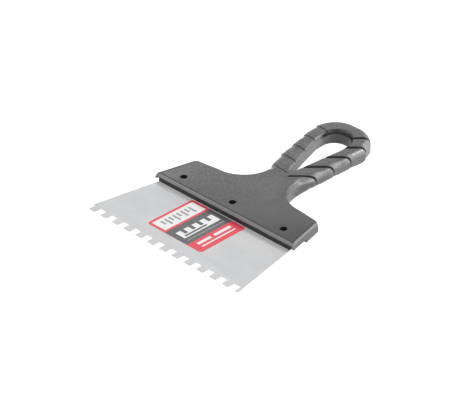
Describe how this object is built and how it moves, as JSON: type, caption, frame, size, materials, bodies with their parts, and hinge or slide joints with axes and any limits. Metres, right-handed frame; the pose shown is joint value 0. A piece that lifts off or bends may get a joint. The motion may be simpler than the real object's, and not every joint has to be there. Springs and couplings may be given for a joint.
{
  "type": "notched trowel",
  "caption": "Hand tool with a square-notched sheet-steel blade clamped under a wide moulded head that runs into a closed loop grip, for combing adhesive.",
  "frame": {"origin": "under the middle of the whole tool's bounding box, at the height of its lowest point", "axes": "+Z is square to the blade's flat faces, towards the side that carries the label; +Y runs from the notched edge to the loop grip; X runs along the notched edge"},
  "size_m": [0.1986, 0.269, 0.0322],
  "materials": {
    "steel": "fine brushed sheet",
    "label_film": "printed self-adhesive film in red, charcoal and white",
    "handle_plastic": "finely mottled grey moulding",
    "strip_plastic": "smooth dark moulding",
    "screw_steel": "black oxide"
  },
  "bodies": {
    "root": {"blade": "steel", "label": "label_film", "handle": "handle_plastic", "packing_strip": "strip_plastic", "lower_jaw": "handle_plastic", "clamp_screws": "screw_steel"}
  },
  "joints": []
}
